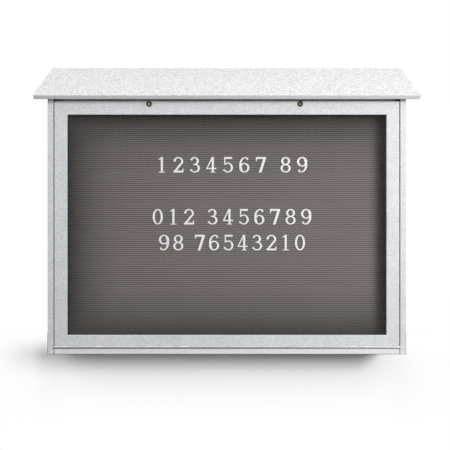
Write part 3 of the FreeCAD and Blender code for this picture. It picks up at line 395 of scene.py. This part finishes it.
def boardPlastic(graph, finish=boardFinish):
    where = graph.place()
    blotch = graph.noise(where, finish["blotch"], 4.0, 0.6)
    grain = graph.noise(where, finish["grain"], 3.0, 0.6)
    colour = twoTone(graph, blotch * finish["blotchShare"] + grain * (1 - finish["blotchShare"]), finish)
    flecks = graph.spread(graph.cells(where, finish["fleckCell"]), *finish["fleckRim"])
    flecks = flecks * graph.spread(graph.noise(where, finish["fleckPatch"]), *finish["patchRange"])
    colour = graph.between(flecks * finish["fleckShare"], colour, finish["fleck"])
    # painted shade: darker where the boards look down and inside the gaps beside the door
    under = graph.spread(graph.facing(), *finish["underside"])
    fromGap = (graph.axis(where, "X").call("ABSOLUTE") + sideGap).call("ABSOLUTE")
    inGap = graph.spread(fromGap, *finish["gapHalf"])
    inGap = inGap * graph.spread(graph.axis(where, "Y"), doorBack + finish["gapEnd"], doorBack)
    paintedShadeShare = (under * finish["undersideShare"]).call("MAXIMUM", inGap * finish["gapShare"])
    colour = graph.between(paintedShadeShare, colour, finish["paintedShadeTone"])
    relief = grain * finish["grainRelief"] + graph.cells(where, finish["pit"]) * finish["pitRelief"]
    return coat(graph, colour, grain, relief, finish, IOR=1.5)


def shelfPlasticPaintedLighter(graph):
    # the bottom board: the boards' plastic in lighter tones, painted light
    return boardPlastic(graph, paintedLighterShelfFinish)


roofFinish = {"dark": paint(197, 197, 199), "pale": paint(246, 246, 247), "range": (0.34, 0.62),
              "grain": 0.0050, "wide": 0.02, "wideShare": 0.15, "rough": 0.5, "rougher": 0.2,
              "paintedLightTone": paint(240, 240, 242), "underside": (-0.3, -0.55),
              "grainRelief": 0.9, "pit": 0.003, "pitRelief": 0.5, "relief": 0.0006}


def roofPlastic(graph):
    # painted light: what looks down, the front edge and the underside, has one plain, lighter tone
    where = graph.place()
    grain = graph.noise(where, roofFinish["grain"], 4.0, 0.65)
    wide = graph.noise(where, roofFinish["wide"], 3.0, 0.6)
    mixed = grain * (1 - roofFinish["wideShare"]) + wide * roofFinish["wideShare"]
    colour = twoTone(graph, mixed, roofFinish)
    under = graph.spread(graph.facing(), *roofFinish["underside"])
    colour = graph.between(under, colour, roofFinish["paintedLightTone"])
    pits = graph.cells(where, roofFinish["pit"])
    relief = grain * roofFinish["grainRelief"] + pits * roofFinish["pitRelief"]
    return coat(graph, colour, grain, relief, roofFinish, IOR=1.5)


hiddenFinish = {"dark": paint(196, 198, 203), "pale": paint(222, 223, 227), "range": (0.35, 0.65),
                "grain": 0.01, "stretch": (1.0, 1.0, 8.0), "rough": 0.55, "rougher": 0.15, "relief": 0.0003}


def hiddenPlastic(graph):
    # boards inside the cabinet, sawn rather than moulded
    along = graph.stretched(graph.place(), hiddenFinish["stretch"])
    saw = graph.noise(along, hiddenFinish["grain"], 4.0, 0.6)
    return coat(graph, twoTone(graph, saw, hiddenFinish), saw, saw, hiddenFinish)


beadFinish = {"dark": paint(34, 34, 36), "pale": paint(48, 48, 50), "range": (0.35, 0.65),
              "grain": 0.003, "rough": 0.5, "rougher": 0.2, "relief": 0.0002}


def beadPlastic(graph):
    # black strip, so that nothing pale shows behind the pane's edge
    grain = graph.noise(graph.place(), beadFinish["grain"], 3.0, 0.6)
    return coat(graph, twoTone(graph, grain, beadFinish), grain, grain, beadFinish)


windowLow = span("door_bottom_rail")[1][2]
windowHigh = span("door_top_rail")[0][2]
windowHalf = span("door_right_stile")[0][0]
feltFront = span("letter_board")[0][1]
# the felt's darkening towards the frame and in the grooves is painted shade
feltFinish = {"middle": paint(138, 129, 125), "edge": 0.25, "shadeReach": 0.077, "power": 1.5,
              "turn": 0.2, "rightShare": 0.26, "groove": 0.25, "grooveDepth": (0.0006, 0.0024),
              "level": 0.93, "fibre": 0.0011, "stretch": (0.5, 1.0, 1.0), "fibreShare": 0.06,
              "cloud": 0.06, "cloudShare": 0.08, "rough": 0.95, "relief": 0.00003,
              "sheen": 0.1, "sheenRough": 0.6}


def feltCloth(graph):
    # painted shade: darker towards the door's frame, as if the frame shaded the recessed board, and lighter
    # sooner on the right:
    # lit share = 1 - exp(-(inset / the shade's reach)^power) across and along
    where = graph.place()
    shares = []
    aside = graph.axis(where, "X")
    shadier = graph.spread(aside, -feltFinish["turn"], feltFinish["turn"], 1.0, feltFinish["rightShare"])
    for inset in ((windowHalf - aside.call("ABSOLUTE")) / shadier,
                  windowHigh - graph.axis(where, "Z").call("ABSOLUTE")):
        reach = inset.call("MAXIMUM") / feltFinish["shadeReach"]
        shares.append(1 - (reach ** feltFinish["power"] * -1).call("EXPONENT"))
    paintedVignette = feltFinish["edge"] + (1 - feltFinish["edge"]) * (shares[0] * shares[1])
    fibre = graph.noise(graph.stretched(where, feltFinish["stretch"]), feltFinish["fibre"], 2.0, 0.6)
    cloud = graph.noise(where, feltFinish["cloud"], 3.0, 0.6)
    shallow, deep = feltFinish["grooveDepth"]
    back = graph.axis(where, "Y")
    # painted shade: darker the deeper the felt lies in a groove
    paintedGrooveShade = graph.spread(back, feltFront + shallow, feltFront + deep, 1.0, feltFinish["groove"])
    woven = feltFinish["level"] + feltFinish["fibreShare"] * fibre + feltFinish["cloudShare"] * cloud
    colour = graph.dimmed(feltFinish["middle"], paintedVignette * paintedGrooveShade * woven)
    return principled(graph, Base_Color=colour, Roughness=feltFinish["rough"],
                      Normal=graph.bump(fibre, feltFinish["relief"]), Sheen_Weight=feltFinish["sheen"],
                      Sheen_Roughness=feltFinish["sheenRough"])


numeralFinish = {"dark": paint(246, 243, 246), "pale": paint(254, 252, 254), "range": (0.4, 0.7),
                 "haze": 0.006, "grain": 0.0015, "rough": 0.28, "rougher": 0.12, "relief": 0.00005}


def numeralPlastic(graph):
    where = graph.place()
    haze = graph.noise(where, numeralFinish["haze"], 3.0)
    return coat(graph, twoTone(graph, haze, numeralFinish), haze, graph.noise(where, numeralFinish["grain"]),
                numeralFinish, IOR=1.5)


paneFinish = {"tint": (0.995, 0.995, 0.995, 1.0), "smear": 0.12, "rough": 0.015, "rougher": 0.03,
              "bend": 1.3, "passing": (0.985, 0.984, 0.985, 1.0)}


def clearSheet(graph):
    # clear acrylic that lets the lamps' light through to the letter board
    smear = graph.noise(graph.place(), paneFinish["smear"], 3.0)
    sheet = principled(graph, Base_Color=paneFinish["tint"], Transmission_Weight=1.0, IOR=paneFinish["bend"],
                       Roughness=paneFinish["rough"] + paneFinish["rougher"] * smear)
    empty = graph.node("ShaderNodeBsdfTransparent", {}, {"Color": paneFinish["passing"]})
    passing = graph.ray("Shadow").call("MAXIMUM", graph.ray("Diffuse"))
    return graph.node("ShaderNodeMixShader", {}, {0: passing, 1: sheet, 2: empty})


foamFinish = {"dark": paint(28, 28, 29), "pale": paint(52, 52, 54), "range": (0.1, 0.6),
              "pore": 0.0011, "rough": 0.9, "relief": 0.0003}


def foamSeal(graph):
    pores = graph.cells(graph.place(), foamFinish["pore"])
    return principled(graph, Base_Color=twoTone(graph, pores, foamFinish), Roughness=foamFinish["rough"],
                      Normal=graph.bump(pores, foamFinish["relief"]))


aluminiumFinish = {"dark": paint(222, 223, 225), "pale": paint(240, 241, 243), "range": (0.3, 0.7),
                   "patch": 0.03, "drawn": 0.02, "stretch": (1.0, 30.0, 30.0), "rough": 0.38,
                   "rougher": 0.2, "relief": 0.00005, "knuckleShadeTone": paint(44, 45, 48), "underside": (0.3, -0.1)}


def millAluminium(graph):
    # painted shade: the undersides of the knuckles are darkened
    where = graph.place()
    along = graph.stretched(where, aluminiumFinish["stretch"])
    drawn = graph.noise(along, aluminiumFinish["drawn"], 4.0, 0.7)
    colour = twoTone(graph, graph.noise(where, aluminiumFinish["patch"], 3.0), aluminiumFinish)
    under = graph.spread(graph.facing(), *aluminiumFinish["underside"])
    colour = graph.between(under, colour, aluminiumFinish["knuckleShadeTone"])
    return coat(graph, colour, drawn, drawn, aluminiumFinish, Metallic=1.0)


bodyFinish = {"dark": paint(32, 26, 15), "pale": paint(62, 51, 31), "range": (0.35, 0.65),
              "patch": 0.004, "grain": 0.001, "rough": 0.59, "rougher": -0.25, "relief": 0.00004}
plugFinish = {**bodyFinish, "dark": paint(136, 119, 90), "pale": paint(178, 158, 122), "patch": 0.003,
              "rough": 0.30, "rougher": 0.15}


def agedBrass(graph, finish=bodyFinish):
    where = graph.place()
    worn = graph.spread(graph.noise(where, finish["patch"], 4.0, 0.7), *finish["range"])
    colour = graph.between(worn, finish["dark"], finish["pale"])
    return coat(graph, colour, worn, graph.noise(where, finish["grain"]), finish, Metallic=1.0)


def plugBrass(graph):
    # rubbed brighter by the key
    return agedBrass(graph, plugFinish)


zincFinish = {"dark": paint(172, 176, 180), "pale": paint(206, 208, 210), "range": (0.3, 0.7),
              "grain": 0.006, "rough": 0.28, "rougher": 0.2, "relief": 0.00006}


def zincSteel(graph):
    shade = graph.noise(graph.place(), zincFinish["grain"], 3.0)
    return coat(graph, twoTone(graph, shade, zincFinish), shade, shade, zincFinish, Metallic=1.0)


stainlessFinish = {"dark": paint(186, 187, 189), "pale": paint(214, 214, 215), "grain": 0.0012,
                   "rough": 0.26, "rougher": 0.14, "relief": 0.00003}


def stainlessSteel(graph):
    fine = graph.noise(graph.place(), stainlessFinish["grain"])
    colour = graph.between(fine, stainlessFinish["dark"], stainlessFinish["pale"])
    return coat(graph, colour, fine, fine, stainlessFinish, Metallic=1.0)


finishes = {recipe.__name__: material(recipe.__name__, recipe) for recipe in (
    boardPlastic, shelfPlasticPaintedLighter, roofPlastic, hiddenPlastic, beadPlastic, feltCloth, numeralPlastic,
    clearSheet, foamSeal, millAluminium, agedBrass, plugBrass, zincSteel, stainlessSteel)}


def dress(piece, finish):
    piece.data.materials.clear()
    piece.data.materials.append(finishes[finish])
    return piece


print("finishes mixed:", len(finishes))


# Roof panel

roof = {"thick": 0.0127, "pitch": math.radians(39.3), "edgeRound": 0.0014, "step": 0.003, "endSoft": 0.0012}

roofLow, roofHigh = span("roof_panel")
roofOutline = roundedOutline(
    [(roofLow[1], roofLow[2] + roof["thick"] * math.cos(roof["pitch"])),
     (roofLow[1] + roof["thick"] * math.sin(roof["pitch"]), roofLow[2]),
     (roofHigh[1], roofHigh[2] - roof["thick"] / math.cos(roof["pitch"])),
     (roofHigh[1], roofHigh[2])],
    [roof["edgeRound"], roof["edgeRound"], 0.0, 0.0], roof["step"])
roofPoints = carried(roofOutline, (acrossX, deepY, upZ), np.zeros(3),
                     ((roofLow[0], 0, 0), (roofHigh[0], 0, 0)), roof["step"], pebble["roofHeight"])
roofPiece = softened(meshFrom("roof_sheet", [(roofPoints, False, True, True)]), roof["endSoft"])
place(dress(roofPiece, "roofPlastic"), "cabinet", "roof_panel")
print("roof laid:", len(roofPiece.data.polygons), "faces")


# Cabinet boards: two sides cut to the roof's slope, and a bottom board mitred between them

boards = {"edgeRound": 0.0015, "step": 0.003, "endSoft": 0.0005}

for side, label in ((-1, "left"), (1, "right")):
    low, high = span(label + "_side_board")
    outerX = low[0] if side < 0 else high[0]
    thick = high[0] - low[0]
    depth = high[1] - low[1]
    outline = roundedOutline([(0, 0), (thick, 0), (thick, depth), (0, depth)],
                             [boards["edgeRound"], boards["edgeRound"], 0.0, 0.0], boards["step"])
    slope = math.tan(roof["pitch"])
    points = carried(outline, (upZ, -side * acrossX, deepY), np.array((outerX, low[1], 0.0)),
                     ((low[2], 1, 0), (high[2] - depth * slope, 0, slope)), boards["step"], pebble["height"])
    board = softened(meshFrom(label + "_side", [(points, False, True, True)]), boards["endSoft"])
    place(dress(board, "boardPlastic"), "cabinet", label + "_side_board")

low, high = span("bottom_board")
thick = high[2] - low[2]
depth = high[1] - low[1]
outline = roundedOutline([(0, 0), (thick, 0), (thick, depth), (0, depth)],
                         [boards["edgeRound"], boards["edgeRound"], 0.0, 0.0], boards["step"])
points = carried(outline, (acrossX, upZ, deepY), np.array((0.0, low[1], low[2])),
                 ((low[0], 1, 0), (high[0], -1, 0)), boards["step"], pebble["height"])
board = softened(meshFrom("bottom_shelf", [(points, False, True, True)]), boards["endSoft"])
place(dress(board, "shelfPlasticPaintedLighter"), "cabinet", "bottom_board")
print("cabinet boards cut")


# Door frame: four mitred boards, each stepped behind for the pane and its beads

door = {"edgeRound": 0.0011, "sillRound": 0.0024, "innerRound": 0.0014, "lip": 0.007, "paneStep": 0.008,
        "paneThick": 0.006, "beadStep": 0.014, "step": 0.003, "endSoft": 0.0005}

doorLow = np.minimum(span("door_left_stile")[0], span("door_bottom_rail")[0])
doorHigh = np.maximum(span("door_right_stile")[1], span("door_top_rail")[1])
doorDeep = doorHigh[1] - doorLow[1]


def frameOutline(width, innerRound):
    # u is measured outwards from the window's edge, v from the front of the door
    behindPane = door["lip"] + door["paneThick"]
    steps = [(0, 0), (width, 0), (width, doorDeep), (door["beadStep"], doorDeep),
             (door["beadStep"], behindPane), (door["paneStep"], behindPane), (door["paneStep"], door["lip"]),
             (0, door["lip"])]
    radii = [innerRound, door["edgeRound"]] + [0.0] * (len(steps) - 2)
    return roundedOutline(steps, radii, door["step"])


stileWide = doorHigh[0] - windowHalf
topWide = doorHigh[2] - windowHigh
bottomWide = windowLow - doorLow[2]
rail = ((-windowHalf, windowHalf), (stileWide, stileWide))
stile = ((windowLow, windowHigh), (bottomWide, topWide))
doorPlan = {
    # along, across, start, width, ends of the window's edge and the widths of the boards met there
    "door_top_rail": (acrossX, upZ, (0, windowHigh), topWide, *rail),
    "door_bottom_rail": (acrossX, -upZ, (0, windowLow), bottomWide, *rail),
    "door_left_stile": (upZ, -acrossX, (-windowHalf, 0), stileWide, *stile),
    "door_right_stile": (upZ, acrossX, (windowHalf, 0), stileWide, *stile),
}
for node, (along, across, (startX, startZ), width, ends, met) in doorPlan.items():
    innerRound = door["sillRound"] if node == "door_bottom_rail" else door["innerRound"]
    mitres = ((ends[0], -met[0] / width, 0), (ends[1], met[1] / width, 0))
    points = carried(frameOutline(width, innerRound), (along, across, deepY),
                     np.array((startX, doorLow[1], startZ)), mitres, door["step"], pebble["height"])
    board = meshFrom(node.replace("door_", "frame_"), [(points, False, True, True)])
    softened(board, door["endSoft"])
    place(dress(board, "boardPlastic"), "door", node)
print("door frame mitred")


# Letter board: felt pressed over a ribbed panel. Across each groove the felt sinks by
# depth * (3s^2 - 2s^3), where s falls from 1 just outside the groove's floor to 0 just past its mouth.

felt = {"pitch": 0.00635, "mouth": 0.0026, "floor": 0.0014, "lipSoft": 0.25, "depth": 0.0032, "crown": 0.0003,
        "columns": 48, "ripple": 0.00018, "rippleCell": 0.03, "rippleStretch": (1, 1, 4), "rippleSeed": 5,
        "sharpAngle": 60.0, "backGap": 1e-6,
        "ribShares": (-0.5, -0.36, -0.27, -0.215, -0.17, -0.12, -0.10, 0.0, 0.10, 0.12, 0.17, 0.215, 0.27,
                      0.36)}

feltLow, feltHigh = span("letter_board")
grooveCount = int((feltHigh[2] - feltLow[2] - felt["pitch"]) // felt["pitch"])
ribShares = np.array(felt["ribShares"])
groove = feltLow[2] + felt["pitch"] * (np.arange(grooveCount)[:, None] + 1)
ribZ = (groove + felt["pitch"] * ribShares).ravel()
offCentre = np.abs(np.tile(ribShares, grooveCount)) * felt["pitch"]
sink = (felt["mouth"] / 2 - offCentre) / (felt["mouth"] / 2 - felt["floor"] / 2)
sink = np.clip(sink + felt["lipSoft"], 0, 1)
sink = sink * sink * (3 - 2 * sink)
crown = np.clip(offCentre / (felt["pitch"] / 2), 0, 1)
ribY = feltLow[1] + felt["depth"] * sink + felt["crown"] * (1 - crown)
feltOutline = np.vstack((((feltLow[1], feltLow[2]),), np.stack((ribY, ribZ), 1),
                         ((feltLow[1], feltHigh[2]), (feltHigh[1], feltHigh[2]), (feltHigh[1], feltLow[2]))))
columns = np.linspace(feltLow[0], feltHigh[0], felt["columns"])
feltPoints = np.empty((felt["columns"], len(feltOutline), 3))
feltPoints[..., 0] = columns[:, None]
feltPoints[..., 1:] = feltOutline
front = feltOutline[:, 0] < feltHigh[1] - felt["backGap"]
ripple = noiseAt(feltPoints * felt["rippleStretch"], felt["rippleCell"], felt["rippleSeed"])
feltPoints[..., 1] += np.where(front, ripple, 0) * felt["ripple"]
feltPiece = meshFrom("felt_letter_board", [(feltPoints, False, True, True)], felt["sharpAngle"])
place(dress(feltPiece, "feltCloth"), "cabinet", "letter_board")
print("letter board ribbed:", grooveCount, "grooves")


# Numerals, with moulded edges

numerals = {"soft": 0.0004}

for row in ("upper", "middle", "lower"):
    piece = castFrom(f"numerals_{row}_row", f"figures_{row}_row", numerals["soft"])
    place(dress(piece, "numeralPlastic"), "cabinet", f"numerals_{row}_row")
print("numerals moulded")


# The CAD pieces that stay, in their finishes

kept = {
    "hiddenPlastic": ("upper_mounting_rail", "lower_mounting_rail", "left_board_cleat",
                      "right_board_cleat", "left_roof_cleat", "right_roof_cleat", "left_door_stop",
                      "right_door_stop", "bottom_door_stop", "corner_keys"),
    "boardPlastic": ("back_panel", "top_board"),
    "beadPlastic": ("top_glazing_bead", "bottom_glazing_bead", "left_glazing_bead", "right_glazing_bead"),
    "clearSheet": ("window_pane",),
    "foamSeal": ("door_seal",),
    "millAluminium": ("hinge_cabinet_leaf", "hinge_door_leaf"),
    "agedBrass": ("left_lock_body", "right_lock_body"),
    "plugBrass": ("left_lock_plug", "right_lock_plug"),
    "zincSteel": ("left_lock_cam", "right_lock_cam", "left_lock_cam_screw", "right_lock_cam_screw",
                  "lock_nuts"),
    "stainlessSteel": ("hinge_pin", "hinge_cabinet_screws", "side_screws", "back_screws", "cleat_screws",
                       "roof_screws", "letter_board_screws", "stop_screws", "bead_screws",
                       "hinge_door_screws"),
}
for finish, names in kept.items():
    for name in names:
        dress(nodes[name], finish)
print("kept pieces dressed")


# Stage: a floor under the open door's reach, and a soft-edged strip of wall under the cabinet.
# Both only catch shadows. From behind, what is seen through the strip looks nearly white or is hidden.

stage = {"floorDrop": 1.25, "floorHalf": 6.0, "floorBack": 0.25, "floorTone": (0.12, 0.12, 0.12, 1.0),
         "wallY": 0.004, "wallTop": -0.300, "wallLow": -0.66, "wallHalf": 0.95,
         "wallTone": (0.80, 0.80, 0.81, 1.0), "notch": 0.54, "under": -0.392}

# how the strip's shadow fades: over its last stretch at the sides, top and bottom, and beside the
# cabinet, where it also starts lower
fading = {"side": 0.16, "top": 0.075, "low": 0.12, "beside": (0.53, 0.56), "drop": 0.056,
          "outer": (0.595, 0.66), "peak": 0.97, "outerShare": 0.55, "glow": 0.45}


def flatSheet(name, corners, finish):
    sheet = bpy.data.meshes.new(name)
    sheet.from_pydata(corners, [], [tuple(range(len(corners)))])
    made = bpy.data.objects.new(name, sheet)
    bpy.context.scene.collection.objects.link(made)
    made.is_shadow_catcher = True
    dress(made, finish)
    return made


def floorPaper(graph):
    # plain white where it is seen through the door's pane
    paper = graph.node("ShaderNodeBsdfDiffuse", {}, {"Color": stage["floorTone"]})
    white = graph.node("ShaderNodeEmission", {}, {"Strength": 1.0})
    return graph.node("ShaderNodeMixShader", {}, {0: graph.ray("Transmission"), 1: paper, 2: white})


def wallPaper(graph):
    # towards its edges it glows instead of catching the shadow, which fades there; through the door's pane
    # it is plain white, and from behind it is clear
    where = graph.place()
    aside = graph.axis(where, "X").call("ABSOLUTE")
    drop = graph.spread(aside, *fading["beside"], 0.0, fading["drop"])
    below = stage["wallTop"] - graph.axis(where, "Z") - drop
    shown = graph.spread(stage["wallHalf"] - aside, 0.0, fading["side"])
    shown = shown * graph.spread(below, 0.0, fading["top"])
    shown = shown * graph.spread(below, stage["wallTop"] - stage["wallLow"], fading["low"])
    shown = shown * graph.spread(aside, *fading["outer"], fading["peak"], fading["outerShare"])
    through = graph.ray("Transmission")
    strength = graph.ray("Camera") * fading["glow"] + through
    glow = graph.node("ShaderNodeEmission", {}, {"Strength": strength})
    behind = graph.node("ShaderNodeNewGeometry", give="Backfacing")
    clear = graph.node("ShaderNodeBsdfTransparent")
    paper = graph.node("ShaderNodeBsdfDiffuse", {}, {"Color": stage["wallTone"]})
    front = graph.node("ShaderNodeMixShader", {}, {0: shown * (1 - through), 1: glow, 2: paper})
    return graph.node("ShaderNodeMixShader", {}, {0: behind, 1: front, 2: clear})


finishes["floorPaper"] = material("floorPaper", floorPaper)
finishes["wallPaper"] = material("wallPaper", wallPaper)
half = stage["floorHalf"]
floorZ = -stage["floorDrop"]
floorRim = [(-half, -half), (half, -half), (half, stage["floorBack"]), (-half, stage["floorBack"])]
floor = flatSheet("floor", [(x, y, floorZ) for x, y in floorRim], "floorPaper")
# the strip stops below the cabinet and reaches a little higher on either side of it
half = stage["wallHalf"]
top = stage["wallTop"] - fading["drop"]
low = stage["wallLow"]
notch = stage["notch"]
under = stage["under"]
strip = [(-half, low), (half, low), (half, top), (notch, top), (notch, under), (-notch, under), (-notch, top),
         (-half, top)]
wall = flatSheet("wall", [(x, stage["wallY"], z) for x, z in strip], "wallPaper")


# Light: a bright sky above, a strong lamp on the right, one from high on the left, a weak one on the left
# and one from below on the right

lamps = {
    # place, aimed at, width, height, power
    "key": ((1.7, -2.0, 0.62), (0.2, -0.14, 0.0), 0.8, 0.8, 34.0),
    "high": ((-0.7, -2.0, 1.45), (0.0, -0.14, 0.0), 1.2, 0.6, 14.5),
    "fill": ((-1.8, -2.2, 0.5), (0.0, -0.14, 0.0), 0.8, 0.8, 4.0),
    "low": ((2.1, -2.2, -0.3), (0.0, -0.1, 0.0), 1.2, 1.2, 11.0),
}

# of the lamps only the key one lights the stage, so that the shadow falls to the left
notLit = bpy.data.collections.new("notLit")
for sheet in (floor, wall):
    notLit.objects.link(sheet)
for entry in notLit.collection_objects:
    entry.light_linking.link_state = "EXCLUDE"

for name, (at, target, wide, tall, power) in lamps.items():
    lamp = bpy.data.lights.new(name, "AREA")
    lamp.shape = "RECTANGLE"
    lamp.size = wide
    lamp.size_y = tall
    lamp.energy = power
    holder = bpy.data.objects.new(name, lamp)
    holder.location = at
    aim = np.array(target) - np.array(at)
    flat = math.hypot(aim[0], aim[1])
    holder.rotation_euler = (math.atan2(flat, -aim[2]), 0.0, math.atan2(aim[1], aim[0]) - math.pi / 2)
    bpy.context.scene.collection.objects.link(holder)
    if name != "key":
        holder.light_linking.receiver_collection = notLit

# the sky lights the part from above only; cameras and panes see plain white, and mirrors a share of it
heaven = {"domeEnd": 0.8, "dome": 0.83, "mirrorRange": (-0.9, 0.3), "mirror": (0.1, 0.6)}

world = bpy.data.worlds.new("studio")
bpy.context.scene.world = world
world.use_nodes = True
sky = Graph(world.node_tree, "ShaderNodeOutputWorld")
direction = sky.node("ShaderNodeTexCoord", give="Generated")
dome = sky.spread(sky.axis(direction, "Z"), 0.0, heaven["domeEnd"], 0.0, heaven["dome"])
mirrored = sky.ray("Glossy") * sky.spread(sky.axis(direction, "Y"), *heaven["mirrorRange"], *heaven["mirror"])
seen = sky.ray("Camera").call("MAXIMUM", sky.ray("Transmission")).call("MAXIMUM", mirrored)
strength = dome + (1 - dome) * seen
sky.finish(sky.node("ShaderNodeBackground", {}, {"Color": (1.0, 1.0, 1.0, 1.0), "Strength": strength}))
bpy.context.scene.view_settings.view_transform = "Standard"
print("stage lit")
